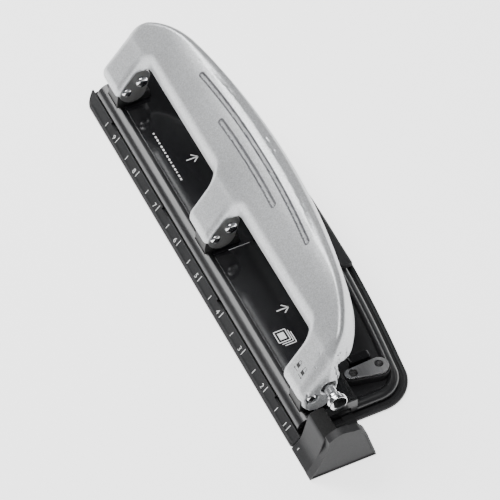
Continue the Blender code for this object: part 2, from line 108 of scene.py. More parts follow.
def finish(name, dark, light, rough, metal=0.0, grain=900.0, cloud=30.0, bump=0.1, depth=0.00002,
           stretch=(1, 1, 1), coat=0.0, shine=0.5):
    """A Principled finish: its colour and roughness drift slowly and its surface has a grain.

    Colours are linear, rough is the roughness from and to, grain and cloud are the scales of the
    fine and the slow noise, depth is the grain's height in metres.
    """
    made = bpy.data.materials.new(name)
    made.use_nodes = True
    tree = made.node_tree
    shader = tree.nodes["Principled BSDF"]
    shader.inputs["Metallic"].default_value = metal
    shader.inputs["Coat Weight"].default_value = coat
    shader.inputs["Coat Roughness"].default_value = 0.08
    shader.inputs["Specular IOR Level"].default_value = shine
    place = add_node(tree, "TexCoord")
    scaled = add_node(tree, "Mapping", Scale=stretch)
    tree.links.new(place.outputs["Object"], scaled.inputs["Vector"])
    drift = add_node(tree, "TexNoise", Scale=cloud, Detail=3.0)
    fine = add_node(tree, "TexNoise", Scale=grain, Detail=2.0)
    for noise in (drift, fine):
        tree.links.new(scaled.outputs["Vector"], noise.inputs["Vector"])
    mixed = add_node(tree, "Math", operation="MULTIPLY_ADD")
    mixed.inputs[1].default_value = 0.5
    tree.links.new(fine.outputs["Fac"], mixed.inputs[0])
    half = add_node(tree, "Math", operation="MULTIPLY")
    half.inputs[1].default_value = 0.5
    tree.links.new(drift.outputs["Fac"], half.inputs[0])
    tree.links.new(half.outputs[0], mixed.inputs[2])
    ramp = add_node(tree, "ValToRGB")
    ramp.color_ramp.elements[0].position = 0.35
    ramp.color_ramp.elements[0].color = (*dark, 1)
    ramp.color_ramp.elements[1].position = 0.65
    ramp.color_ramp.elements[1].color = (*light, 1)
    tree.links.new(mixed.outputs[0], ramp.inputs["Fac"])
    tree.links.new(ramp.outputs["Color"], shader.inputs["Base Color"])
    span = add_node(tree, "MapRange")
    span.inputs["From Min"].default_value = 0.3
    span.inputs["From Max"].default_value = 0.7
    span.inputs["To Min"].default_value = rough[0]
    span.inputs["To Max"].default_value = rough[1]
    tree.links.new(drift.outputs["Fac"], span.inputs["Value"])
    tree.links.new(span.outputs["Result"], shader.inputs["Roughness"])
    relief = add_node(tree, "Bump", Strength=bump, Distance=depth)
    tree.links.new(fine.outputs["Fac"], relief.inputs["Height"])
    tree.links.new(relief.outputs["Normal"], shader.inputs["Normal"])
    return made


def flake_paint(name):
    """Silver paint: its fine metal flakes catch the light one by one."""
    made = finish(name, (0.50, 0.51, 0.52), (0.60, 0.61, 0.62), (0.36, 0.46), 0.6, grain=1800.0,
                  cloud=12.0, bump=0.25, depth=0.00004, coat=0.15)
    tree = made.node_tree
    shader = tree.nodes["Principled BSDF"]
    flakes = add_node(tree, "TexVoronoi", Scale=2200.0)
    place = next(n for n in tree.nodes if n.type == "TEX_COORD")
    tree.links.new(place.outputs["Object"], flakes.inputs["Vector"])
    grey = add_node(tree, "RGBToBW")
    tree.links.new(flakes.outputs["Color"], grey.inputs["Color"])
    span = add_node(tree, "MapRange")
    span.inputs["To Min"].default_value = 0.72
    span.inputs["To Max"].default_value = 1.22
    tree.links.new(grey.outputs["Val"], span.inputs["Value"])
    tint = add_node(tree, "VectorMath", operation="SCALE")
    ramp = next(n for n in tree.nodes if n.type == "VALTORGB")
    tree.links.new(ramp.outputs["Color"], tint.inputs[0])
    tree.links.new(span.outputs["Result"], tint.inputs["Scale"])
    tree.links.new(tint.outputs["Vector"], shader.inputs["Base Color"])
    return made


SILVER = flake_paint("silver_paint")
# Darker silver for the sides of the handle's grooves: painted shade.
GROOVE_PAINTED_SHADE = finish("groove_painted_shade", (0.13, 0.13, 0.14), (0.20, 0.20, 0.21), (0.45, 0.55), 0.4)
BRACKET = finish("bracket_steel", (0.27, 0.27, 0.27), (0.34, 0.34, 0.34), (0.34, 0.46), 0.8,
                 grain=1200.0, bump=0.15)
CHROME = finish("bright_chrome", (0.70, 0.70, 0.71), (0.80, 0.80, 0.80), (0.06, 0.12), 1.0,
                grain=700.0, bump=0.02)
STEEL = finish("tool_steel", (0.42, 0.42, 0.43), (0.56, 0.56, 0.56), (0.24, 0.36), 1.0,
               grain=900.0, bump=0.10, stretch=(0.2, 2.0, 1.0))
# Dark steel for the rivets and towers; on the die plate it is painted shade for the shadowed paper
# throat.
DARK_STEEL_AND_SHADE = finish("dark_steel", (0.05, 0.05, 0.05), (0.09, 0.09, 0.09), (0.35, 0.5), 0.7,
                    grain=900.0, bump=0.1)
GLOSS = finish("gloss_black", (0.006, 0.006, 0.007), (0.010, 0.010, 0.011), (0.07, 0.12),
               grain=300.0, bump=0.01, coat=0.3)
RIDGE = finish("satin_black", (0.010, 0.010, 0.011), (0.014, 0.014, 0.015), (0.31, 0.38),
               grain=200.0, bump=0.01, coat=0.3)
GREY = finish("grey_plastic", (0.018, 0.018, 0.019), (0.028, 0.028, 0.029), (0.42, 0.56),
              grain=1500.0, bump=0.25, depth=0.00004, shine=0.22)
# Black rubber for the feet; on the guide block's top it is painted shade.
RUBBER_AND_SHADE = finish("black_rubber", (0.012, 0.012, 0.012), (0.02, 0.02, 0.02), (0.75, 0.9),
                grain=1200.0, bump=0.3, depth=0.00004, shine=0.15)
WHITE = finish("white_print", (0.74, 0.74, 0.74), (0.82, 0.82, 0.82), (0.4, 0.5), grain=900.0)
BLACK_PRINT = finish("black_print", (0.012, 0.012, 0.012), (0.02, 0.02, 0.02), (0.5, 0.6),
                     grain=900.0)


# Making pieces ------------------------------------------------------------------------
def new_object(name, bm, look=None):
    """The mesh, in millimetres, as an object in metres. With no look it is a cutter."""
    bmesh.ops.scale(bm, vec=(MM, MM, MM), verts=bm.verts)
    mesh = bpy.data.meshes.new(name)
    bm.to_mesh(mesh)
    bm.free()
    obj = bpy.data.objects.new(name, mesh)
    bpy.context.scene.collection.objects.link(obj)
    if look:
        mesh.materials.append(look)
    return obj


def placed(obj, body, *nodes):
    """Puts a finished piece on its body, in place of the CAD nodes that it shows."""
    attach(obj, body)
    if nodes:
        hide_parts(*nodes)


def settle(obj):
    """Applies the object's modifiers."""
    graph = bpy.context.evaluated_depsgraph_get()
    mesh = bpy.data.meshes.new_from_object(obj.evaluated_get(graph))
    obj.modifiers.clear()
    obj.data = mesh


def cut(obj, tool, operation="DIFFERENCE"):
    """Cuts the tool out of the object and removes the tool."""
    modifier = obj.modifiers.new(tool.name, "BOOLEAN")
    modifier.operation = operation
    modifier.object = tool
    settle(obj)
    bpy.data.objects.remove(tool)


def rounded(obj, width, segments=3, angle=30):
    """Rounds the sharp edges and keeps the flat faces flat."""
    bm = bmesh.new()
    bm.from_mesh(obj.data)
    bmesh.ops.remove_doubles(bm, verts=bm.verts, dist=2e-6)
    bmesh.ops.dissolve_limit(bm, angle_limit=math.radians(0.5), verts=bm.verts, edges=bm.edges)
    bm.to_mesh(obj.data)
    bm.free()
    bevel = obj.modifiers.new("edges", "BEVEL")
    bevel.width = width * MM
    bevel.segments = segments
    bevel.limit_method = "ANGLE"
    bevel.angle_limit = math.radians(angle)
    bevel.miter_outer = "MITER_ARC"
    settle(obj)
    obj.data.shade_smooth()
    weighted = obj.modifiers.new("normals", "WEIGHTED_NORMAL")
    weighted.keep_sharp = False
    settle(obj)
    return obj


def refined(node, body, look, width, segments=3):
    """A CAD piece again, with rounded edges."""
    source = frame["nodes"][node]
    obj = bpy.data.objects.new(node + "_fine", source.data.copy())
    bpy.context.scene.collection.objects.link(obj)
    obj.data.materials.clear()
    obj.data.materials.append(look)
    rounded(obj, width, segments)
    placed(obj, body, node)


def axes(place, right, up, out):
    """A frame at a place, from its three directions."""
    return Matrix.Translation(place) @ Matrix((right, up, out)).transposed().to_4x4()


def arc(centre, radius, start, end, steps):
    """Points on an arc, angles in degrees."""
    angles = [math.radians(start + (end - start) * i / steps) for i in range(steps + 1)]
    return [(centre[0] + radius * math.cos(a), centre[1] + radius * math.sin(a)) for a in angles]


def loft(bm, rings):
    """Skins rings of equal length one to the next, with a face on each end."""
    rows = [[bm.verts.new(p) for p in ring] for ring in rings]
    count = len(rows[0])
    for one, two in zip(rows, rows[1:]):
        for i in range(count):
            j = (i + 1) % count
            bm.faces.new((one[i], one[j], two[j], two[i]))
    bm.faces.new(rows[0])
    bm.faces.new(rows[-1])
    bmesh.ops.recalc_face_normals(bm, faces=bm.faces)


def prism(name, outline, span, axis="Z", look=None):
    """An outline swept along an axis. Its points are (x, y) for Z and (y, z) for X."""
    bm = bmesh.new()
    loft(bm, [[(a, b, t) if axis == "Z" else (t, a, b) for a, b in outline] for t in span])
    return new_object(name, bm, look)


def block(name, x, y, z, look=None):
    """A box between two values on each axis."""
    return prism(name, [(x[0], y[0]), (x[1], y[0]), (x[1], y[1]), (x[0], y[1])], z, "Z", look)


def smooth_profile(points, steps=4):
    """A profile with its corners rounded by a quadratic curve."""
    out = [points[0]]
    for before, corner, after in zip(points, points[1:], points[2:]):
        a, b, c = Vector(before), Vector(corner), Vector(after)
        start, end = b.lerp(a, 0.35), b.lerp(c, 0.35)
        for i in range(steps + 1):
            t = i / steps
            out.append(tuple(start.lerp(b, t).lerp(b.lerp(end, t), t)))
    return out + [points[-1]]


def lathe(name, profile, centre, look, axis="X", steps=48, soft=True):
    """A profile of (position along the axis, radius) turned about the axis."""
    bm = bmesh.new()
    rings = []
    for along, radius in smooth_profile(profile) if soft else profile:
        ring = []
        for i in range(steps):
            angle = 2 * math.pi * i / steps
            a, b = centre[0] + radius * math.cos(angle), centre[1] + radius * math.sin(angle)
            ring.append((along, a, b) if axis == "X" else (a, b, along))
        rings.append(ring)
    loft(bm, rings)
    obj = new_object(name, bm, look)
    obj.data.shade_smooth()
    obj.data.set_sharp_from_angle(angle=math.radians(50))
    return obj


# The handle, as a distance field ---------------------------------------------------------
# Heights of the skin, at the middle of the handle: up the front slope as (y, z), and up from the
# back edge as (distance to it, z).
FRONT_SLOPE = (
    (-36, 20.5), (-30.5, 28.7), (-27.5, 32.7), (-17.4, 46.1), (-13.3, 51.6), (-6.9, 58.0),
    (0.0, 64.0), (6.0, 68.0), (12.0, 71.0), (30.0, 76.0),
)
BACK_SLOPE = (
    (-8, -6.0), (0.0, 40.5), (1.0, 45.5), (3.5, 56.0), (7.5, 65.6), (12.5, 69.0), (18.0, 71.0),
    (70.0, 80.0),
)
# Above this height both slopes rise towards the ends, with the square of the distance.
FOOT = 28.7
FRONT_RISE, BACK_RISE = 1.0e-6, 1.3e-5
HANDLE_END = HANDLE_HIGH.x
HANDLE_FRONT, HANDLE_BACK = HANDLE_LOW.y, HANDLE_HIGH.y
# The back edge in plan: a bow, with a rounded corner at each end.
HANDLE_BOW, CORNER_START, CORNER_END, CORNER_DEPTH = 0.00144, 82.0, 121.5, 19.0
CORNER_LEAN = 2.2
# Radii of the rounded edges: crest, front, ends by the front and by the back, windows.
CREST_ROLL, FRONT_ROLL, END_ROLL, END_ROLL_BACK, LEG_ROLL = 4.0, 2.0, 4.5, 8.0, 3.0
END_ROLL_SPAN = 18
LEG_HALF, SKIN = 10.4, 1.8
WINDOW_BACK, WINDOW_CORNER = -13.3, 7.0
REACH = STATIONS[2] + LEG_HALF - 2.0
PIVOT_BORE, DRIVE_BORE = 3.1, 3.9
TRIM_ROLL, BORE_ROLL = 0.6, 0.3
REAR_RIM = (40, 36.5)
# What is cut away, as (y, z): the space under the ends, and under the handle between them.
FLANK = [
    (-45, 25), (-31, 25), (-29.4, 20.4), (-26.2, 17.0), (-22.4, 15.8), (-18.4, 16.4),
    (-14.4, 19.2), (-12.2, 24), (-9.3, 33), (-4.5, 38.2), REAR_RIM, (40, -5), (-45, -5),
]
INNER = [
    (-45, 24.8), (-28.2, 24.8), (-25.6, 30.6), (-18.8, 38.6), (-15.4, 40.2), (WINDOW_BACK, 43.2),
    (-4, 40), REAR_RIM, (40, -6), (-45, -6),
]
# Grooves on the spine: half length, and y at the ends and at the middle.
GROOVES = ((60.0, 1.2, 4.4), (30.0, -2.3, -1.5))
GROOVE_HALF, GROOVE_DEPTH, GROOVE_SIDE = 1.0, 0.95, 0.4
# The region made finer round each groove, and the half width of the painted shade along its sides.
GROOVE_REGION, PAINTED_SHADE_HALF = 2.2, 0.42
INSIDE_Z, SPINE_Z = 52, 55


def curve_through(points, per_span=10):
    """A smooth curve through the points, as a dense line of (x, y)."""
    pts = [np.array(p, float) for p in points]
    pts = [2 * pts[0] - pts[1]] + pts + [2 * pts[-1] - pts[-2]]
    out = []
    for a, b, c, d in zip(pts, pts[1:], pts[2:], pts[3:]):
        for i in range(per_span):
            t = i / per_span
            out.append(0.5 * (2 * b + (c - a) * t + (2 * a - 5 * b + 4 * c - d) * t ** 2
                              + (3 * b - a - 3 * c + d) * t ** 3))
    return np.array(out + [pts[-2]])


def polygon_distance(corners, a, b):
    """Signed distance to a closed outline, below zero inside."""
    best = np.full(a.shape, 1e9)
    inside = np.zeros(a.shape, bool)
    for (x0, y0), (x1, y1) in zip(corners, np.roll(corners, -1, axis=0)):
        dx, dy = x1 - x0, y1 - y0
        share = np.clip(((a - x0) * dx + (b - y0) * dy) / (dx * dx + dy * dy + 1e-12), 0, 1)
        best = np.minimum(best, np.hypot(a - x0 - share * dx, b - y0 - share * dy))
        spans = (y0 > b) != (y1 > b)
        with np.errstate(divide="ignore", invalid="ignore"):
            inside ^= spans & (a < x0 + (b - y0) * dx / dy)
    return np.where(inside, -best, best)


def plan_table(corners, start, end, step=0.4):
    """An outline's distance as a function, read off a fine grid of it."""
    a = np.arange(start[0], end[0], step)
    b = np.arange(start[1], end[1], step)
    values = polygon_distance(np.array(corners, float), *np.meshgrid(a, b, indexing="ij"))

    def read(u, v):
        i = np.clip((u - start[0]) / step, 0, values.shape[0] - 1.001)
        j = np.clip((v - start[1]) / step, 0, values.shape[1] - 1.001)
        i0, j0 = i.astype(int), j.astype(int)
        s, t = i - i0, j - j0
        left = (1 - t) * values[i0, j0] + t * values[i0, j0 + 1]
        right = (1 - t) * values[i0 + 1, j0] + t * values[i0 + 1, j0 + 1]
        return (1 - s) * left + s * right

    return read


def smooth_line(points):
    """A height and its slope as functions of the place, through the points."""
    line = curve_through(points)
    slopes = np.gradient(line[:, 1], line[:, 0])
    return lambda t: (np.interp(t, line[:, 0], line[:, 1]), np.interp(t, line[:, 0], slopes))


FLANK_CUT = plan_table(FLANK, (-42, 5), (34, 80))
INNER_CUT = plan_table(INNER, (-42, 5), (34, 80))
FRONT_LINE, REAR_LINE = smooth_line(FRONT_SLOPE), smooth_line(BACK_SLOPE)


def handle_back(end):
    """The handle's back edge in plan, by the distance from its middle."""
    turn = np.clip((end - CORNER_START) / (CORNER_END - CORNER_START), 0, 0.98)
    return HANDLE_BACK - HANDLE_BOW * end ** 2 - CORNER_DEPTH * (1 - np.sqrt(1 - turn ** 2))


def both(a, b, radius):
    """Where both fields are below zero, with the edge between them rounded."""
    round_part = np.hypot(np.maximum(a + radius, 0), np.maximum(b + radius, 0)) - radius
    return np.where((a > -radius) & (b > -radius), round_part, np.maximum(a, b))


def window_field(x, y):
    """Below zero inside the openings between the legs, in plan."""
    half = (STATIONS[2] - 2 * LEG_HALF) / 2
    along = np.abs(np.abs(x) - STATIONS[2] / 2) - half
    depth = y - WINDOW_BACK
    return both(along, depth, WINDOW_CORNER)


def outside_field(x, y, z):
    """The handle's outer surface, with no openings."""
    end = np.abs(x)
    back = handle_back(end)
    lean = np.clip(handle_back(end - 1) - back, 0, CORNER_LEAN)
    height, slope = FRONT_LINE(y)
    rise = 1 + FRONT_RISE * end ** 2
    front = (z - FOOT - (height - FOOT) * rise) / np.hypot(1, slope * rise)
    height, slope = REAR_LINE((back - y) / np.hypot(1, lean))
    rise = 1 + BACK_RISE * end ** 2
    rear = (z - FOOT - (height - FOOT) * rise) / np.hypot(1, slope * rise)
    skin = both(both(front, rear, CREST_ROLL), HANDLE_FRONT - y, FRONT_ROLL)
    back_share = np.clip((y - HANDLE_FRONT) / END_ROLL_SPAN, 0, 1)
    roll = END_ROLL + (END_ROLL_BACK - END_ROLL) * back_share
    return both(skin, end - HANDLE_END, roll)


def groove_distance(x, y):
    """Plan distance to the nearest groove's middle line."""
    best = np.full(x.shape, 1e9)
    for half, y_end, y_mid in GROOVES:
        line = y_mid + (y_end - y_mid) * (x / half) ** 2
        best = np.minimum(best, np.hypot(np.maximum(np.abs(x) - half, 0), y - line))
    return best


def handle_field(x, y, z):
    """The handle's shell, below zero in its metal."""
    outer = both(outside_field(x, y, z), -window_field(x, y), LEG_ROLL)
    shell = both(outer, -(outer + SKIN), BORE_ROLL)
    shell = both(shell, -FLANK_CUT(y, z), TRIM_ROLL)
    bottom = both(INNER_CUT(y, z), np.abs(x) - REACH, 1.5)
    shell = both(shell, -bottom, TRIM_ROLL)
    past = REACH - 2 - np.abs(x)
    for radius, centre in ((PIVOT_BORE, PIVOT), (DRIVE_BORE, DRIVE)):
        bore = np.hypot(y - centre[0], z - centre[1]) - radius
        shell = both(shell, -np.maximum(bore, past), BORE_ROLL)
    return shell


def grooved_field(x, y, z):
    """The shell with its shallow grooves, each with a flat floor and steep sides."""
    near = np.clip((groove_distance(x, y) - GROOVE_HALF) / GROOVE_SIDE + 0.5, 0, 1)
    depth = GROOVE_DEPTH * (1 - near * near * (3 - 2 * near))
    return handle_field(x, y, z) + np.where(z > INSIDE_Z, depth, 0)


def surface_net(field, start, end, step):
    """A closed mesh of quads round the metal: one corner in each cell that the surface crosses."""
    axes = [np.arange(a, b + step, step) for a, b in zip(start, end)]
    x, y, z = np.meshgrid(*axes, indexing="ij")
    inside = field(x, y, z) < 0
    cells = tuple(n - 1 for n in inside.shape)
    count = np.zeros(cells, int)
    for i, j, k in itertools.product((0, 1), repeat=3):
        count += inside[i:i + cells[0], j:j + cells[1], k:k + cells[2]]
    mixed = (count > 0) & (count < 8)
    index = np.full(cells, -1)
    index[mixed] = np.arange(mixed.sum())
    points = (np.argwhere(mixed) + 0.5) * step + np.array([axis[0] for axis in axes])
    quads = []
    for axis in range(3):
        first, second = [slice(1, -1)] * 3, [slice(1, -1)] * 3
        first[axis], second[axis] = slice(0, -1), slice(1, None)
        one, two = inside[tuple(first)], inside[tuple(second)]
        where = np.argwhere(one != two) + np.array([0 if a == axis else 1 for a in range(3)])
        outward = one[one != two]
        a, b = (axis + 1) % 3, (axis + 2) % 3
        corners = []
        for da, db in ((-1, -1), (0, -1), (0, 0), (-1, 0)):
            cell = where.copy()
            cell[:, a] += da
            cell[:, b] += db
            corners.append(index[tuple(cell.T)])
        quad = np.stack(corners, axis=1)
        quad[~outward] = quad[~outward][:, ::-1]
        quads.append(quad)
    return points, np.concatenate(quads)


def onto_surface(field, points, limit, step=0.05):
    """Moves points straight onto the surface."""
    for _ in range(3):
        value = field(*points.T)
        slope = np.stack([field(*(points + d).T) - field(*(points - d).T)
                          for d in np.eye(3) * step], axis=1) / (2 * step)
        move = value[:, None] * slope / np.maximum((slope ** 2).sum(1), 0.25)[:, None]
        length = np.linalg.norm(move, axis=1, keepdims=True)
        points = points - move * np.minimum(1, limit / np.maximum(length, 1e-9))
    return points


def relaxed(points, quads, share):
    """Each point moved part of the way to the middle of its neighbours."""
    total, count = np.zeros_like(points), np.zeros(len(points))
    for i in range(4):
        np.add.at(total, quads[:, i], points[quads[:, (i + 1) % 4]] + points[quads[:, i - 1]])
        np.add.at(count, quads[:, i], 2)
    return points + share * (total / count[:, None] - points)


def divided(points, quads, marked):
    """Splits the marked faces finely. Returns the mesh and the numbers of its corners there."""
    bm = bmesh.new()
    verts = [bm.verts.new(p) for p in points]
    faces = [bm.faces.new([verts[i] for i in quad]) for quad in quads]
    chosen = [face for face, mark in zip(faces, marked) if mark]
    edges = list({edge for face in chosen for edge in face.edges})
    made = bmesh.ops.subdivide_edges(bm, edges=edges, cuts=2, use_grid_fill=True)
    fine = {item for item in made["geom_split"] if isinstance(item, bmesh.types.BMVert)}
    fine |= {v for face in chosen if face.is_valid for v in face.verts}
    bm.verts.index_update()
    return bm, sorted(v.index for v in fine)


def make_handle():
    """The shell: a net over its field, made finer along the grooves, whose sides get painted shade.
    """
    step = 0.75
    edge = Vector((1.5, 1.5, 1.5))
    points, quads = surface_net(handle_field, HANDLE_LOW - edge, HANDLE_HIGH + edge, step)
    points = onto_surface(handle_field, points, step)
    for _ in range(2):
        points = onto_surface(handle_field, relaxed(points, quads, 0.5), step / 2)
    centres = points[quads].mean(axis=1)
    marked = groove_distance(centres[:, 0], centres[:, 1]) < GROOVE_REGION
    marked &= (centres[:, 2] > SPINE_Z) & (outside_field(*centres.T) > -0.6)
    bm, fine = divided(points, quads, marked)
    bm.verts.ensure_lookup_table()
    places = np.array([bm.verts[i].co for i in fine])
    for i, place in zip(fine, onto_surface(grooved_field, places, step)):
        bm.verts[i].co = place
    faces = np.array([face.calc_center_median() for face in bm.faces])
    # Faces along the grooves' sides get the darker silver: painted shade.
    away = np.abs(groove_distance(faces[:, 0], faces[:, 1]) - GROOVE_HALF)
    shaded = (away < PAINTED_SHADE_HALF) & (faces[:, 2] > SPINE_Z) & (outside_field(*faces.T) > -1.2)
    shell = new_object("handle_skin", bm, SILVER)
    shell.data.materials.append(GROOVE_PAINTED_SHADE)
    shell.data.polygons.foreach_set("material_index", shaded.astype(int))
    shell.data.shade_smooth()
    placed(shell, "handle", "handle_shell")


# The base -------------------------------------------------------------------------------
# Outline, deck and tray, ruler, raised body with its trough, holes, and the rib by the strap.
BACK_BOW, CORNER_BACK, CORNER_FRONT, CORNER_GUIDE = 0.000623, 19.0, 9.0, 2.0
RIM_INSET, BEAD_WIDTH, DECK = 4.2, 6.0, 4.6
TRAY_RIM, TRAY_FLOOR = 3.0, 1.8
RULER_BACK, RULER_TOP, RULER_FOOT, RULER_UNDER = -33.4, 6.2, 1.3, 0.62
RULER_JOGS, JOG_HALF = (9.3, 6.8, 4.2, 1.6), 3.2
BODY_HALF, BODY_FRONT, BODY_BACK, STOP_Y = 119.4, -32.2, -1.0, -4.5
RIDGE_BACK, THROAT_TOP, TROUGH_FLOOR = -25.8, 8.4, 9.8
TROUGH_HALF, LEDGE_HALF, SLOT_HALF, ABOVE = 117.4, 118.4, 6, 20
PIN_HOLE, CHIP_HOLE, HOLE_ENDS = 3.8, 5.0, (1, 12)
RIB_X, RIB_Y, RIB_TOP = (91.6, 96.4), (6.0, 17.8), 10.0


def plan(inset):
    """The base's outline moved inwards: straight front and ends, bowed back, round corners."""
    left, right, front = TRAY_LOW.x + inset, TRAY_HIGH.x - inset, TRAY_LOW.y + inset
    small, large = max(CORNER_FRONT - inset, 1.5), max(CORNER_BACK - inset, 3.0)
    back = TRAY_HIGH.y - inset
    points = arc((left + small, front + small), small, 180, 270, 12)
    sharp = CORNER_GUIDE
    points += arc((right - sharp, front + sharp), sharp, 270, 360, 4)
    y = back - BACK_BOW * (right - large) ** 2 - large
    points += arc((right - large, y), large, 0, 82, 20)
    steps = 30
    for i in range(1, steps):
        x = right - large + (left + large - right + large) * i / steps
        points.append((x, back - BACK_BOW * x * x))
    y = back - BACK_BOW * (left + large) ** 2 - large
    points += arc((left + large, y), large, 98, 180, 20)
    return points


def make_tray():
    """The pan with its rounded flange, and the sloping ruler along its front."""
    bm = bmesh.new()
    section = [(1.2, 0.6), (0.3, 0.8), (0.0, 1.3), (0.0, 2.2), (0.25, 2.75), (0.8, TRAY_RIM),
               (2.0, TRAY_RIM), (2.4, 2.7), (2.4, TRAY_FLOOR)]
    loft(bm, [[(x, y, z) for x, y in plan(inset)] for inset, z in section])
    pan = new_object("tray_pan", bm, GREY)
    front = TRAY_LOW.y
    ruler = [(front + 0.2, RULER_UNDER), (RULER_BACK + 2.0, RULER_UNDER),
             (RULER_BACK + 0.6, RULER_TOP - 0.2), (RULER_BACK + 0.2, RULER_TOP),
             (RULER_BACK - 0.2, RULER_TOP - 0.1), (front, RULER_FOOT)]
    rail = prism("tray_ruler", ruler, (TRAY_LOW.x, TRAY_HIGH.x), "X", GREY)
    cut(rail, prism("ruler_plan", plan(0.0), (0, 8)), "INTERSECT")
    for inches in RULER_JOGS:
        x = PAPER_EDGE - INCH * inches
        across = (RULER_BACK - 0.5, RULER_BACK + 3)
        cut(rail, block("ruler_jog", (x - JOG_HALF, x + JOG_HALF), across, (4.2, 8)))
    rounded(rail, 0.25, 2)
    pan.data.shade_smooth()
    pan.data.set_sharp_from_angle(angle=math.radians(60))
    placed(pan, "tray", "chip_tray")
    placed(rail, "tray")


def pin_hole(obj, x, radius):
    """Cuts the hole under a punch pin."""
    profile = [(z, radius) for z in HOLE_ENDS]
    cut(obj, lathe("hole", profile, (x, PUNCH_Y), None, "Z", soft=False))


def make_deck():
    """The housing's floor with its rounded bead, left off along the paper's way in."""
    section = [(RIM_INSET + 0.6, 3.2), (RIM_INSET + 0.05, 3.4)]
    bead = arc((RIM_INSET + BEAD_WIDTH / 2, 3.9), BEAD_WIDTH / 2, 180, 14, 14)
    section += bead + [(RIM_INSET + BEAD_WIDTH + 0.25, DECK)]
    rings = []
    for inset, z in section:
        ring = []
        for x, y in plan(inset):
            clamped = max(y, BODY_FRONT)
            in_front = y < BODY_FRONT + 0.01 and TRAY_LOW.x + 7 < x < TRAY_HIGH.x - 7
            ring.append((x, clamped, min(z, DECK) if in_front else z))
        rings.append(ring)
    bm = bmesh.new()
    loft(bm, rings)
    deck = new_object("housing_deck", bm, RIDGE)
    for x in STATIONS:
        pin_hole(deck, x, CHIP_HOLE)
    deck.data.shade_smooth()
    deck.data.set_sharp_from_angle(angle=math.radians(40))
    placed(deck, "base", "base_housing")


def make_body():
    """The raised body over the paper slot: a rolled front ridge, and walls round the panels."""
    width, low_z = RIDGE_BACK - BODY_FRONT + 0.7, THROAT_TOP - 0.6
    ridge, steps = [], 24
    for i in range(steps + 1):
        a = math.pi / 2 * i / steps
        height = low_z + (PANEL_TOP + 0.25 - low_z) * math.sin(a)
        ridge.append((RIDGE_BACK - width * math.cos(a), height))
    section = [(BODY_FRONT + 1.5, THROAT_TOP)] + ridge
    section += [(BODY_BACK, PANEL_TOP), (BODY_BACK, DECK + 0.05), (STOP_Y, DECK + 0.05),
                (STOP_Y, THROAT_TOP)]
    body = prism("housing_body", section, (-BODY_HALF, BODY_HALF), "X", RIDGE)
    trough = (-27.6, BODY_BACK - 1.8)
    cut(body, block("trough", (-TROUGH_HALF, TROUGH_HALF), trough, (TROUGH_FLOOR, ABOVE)))
    front, bottom = low("top_panel_left").y - 0.15, low("top_panel_left").z - 0.1
    ledge = (front, high("top_panel_left").y + 0.15)
    cut(body, block("ledge", (-LEDGE_HALF, LEDGE_HALF), ledge, (bottom, ABOVE)))
    for i, x in enumerate(STATIONS, 1):
        slot = (low(f"punch_tower_{i}").y - 0.3, -24)
        cut(body, block("slot", (x - SLOT_HALF, x + SLOT_HALF), slot, (TROUGH_FLOOR, ABOVE)))
        pin_hole(body, x, PIN_HOLE)
    rounded(body, 0.35, 3)
    placed(body, "base")
    rib = block("deck_rib", RIB_X, RIB_Y, (DECK - 0.1, RIB_TOP), GLOSS)
    rounded(rib, 1.4, 5)
    placed(rib, "base")


def make_base_pieces():
    """The panels, plates, straps, rivets, towers and feet."""
    for name in ("top_panel_left", "top_panel_right"):
        refined(name, "base", GLOSS, 0.2, 2)
    # The die plate is made dark: painted shade for the shadowed paper throat.
    refined("die_plate", "base", DARK_STEEL_AND_SHADE, 0.15, 2)
    refined("paper_stop", "base", GREY, 0.15, 2)
    refined("rear_rest", "base", GREY, 1.2, 4)
    for side in ("left", "right"):
        refined(f"anchor_strap_{side}", "base", STEEL, 0.3, 3)
        refined(f"strap_pedestal_{side}", "base", GREY, 0.4, 2)
        for place in ("front", "rear"):
            node = f"strap_rivet_{side}_{place}"
            centre, top = middle(node), high(node).z
            radius = high(node).x - centre.x
            profile = [(top - 3.5, radius), (top - 0.7, radius), (top - 0.4, radius - 0.5),
                       (top - 0.9, radius - 0.6), (top - 0.9, radius - 0.8),
                       (top - 0.2, radius - 0.9), (top - 0.1, 0.1)]
            rivet = lathe(node + "_fine", profile, centre[:2], DARK_STEEL_AND_SHADE, "Z", 32)
            placed(rivet, "base", node)
    for i in (1, 2, 3):
        refined(f"punch_tower_{i}", "base", DARK_STEEL_AND_SHADE, 0.25, 2)
    for i in range(1, 6):
        node = f"rubber_foot_{i}"
        centre, top = middle(node), high(node).z
        wide = high(node).x - centre.x
        profile = [(0.0, 0.5), (0.0, wide - 1.2), (0.0, wide - 0.4), (0.35, wide), (top, wide)]
        placed(lathe(node + "_fine", profile, centre[:2], RUBBER_AND_SHADE, "Z", 40), "tray", node)


# Punch stations ---------------------------------------------------------------------------
def mirrored(profile, x):
    """A head's profile on both sides of x, as one bolt."""
    left = [(x - along, radius) for along, radius in profile]
    return left + [(x + along, radius) for along, radius in reversed(profile)]


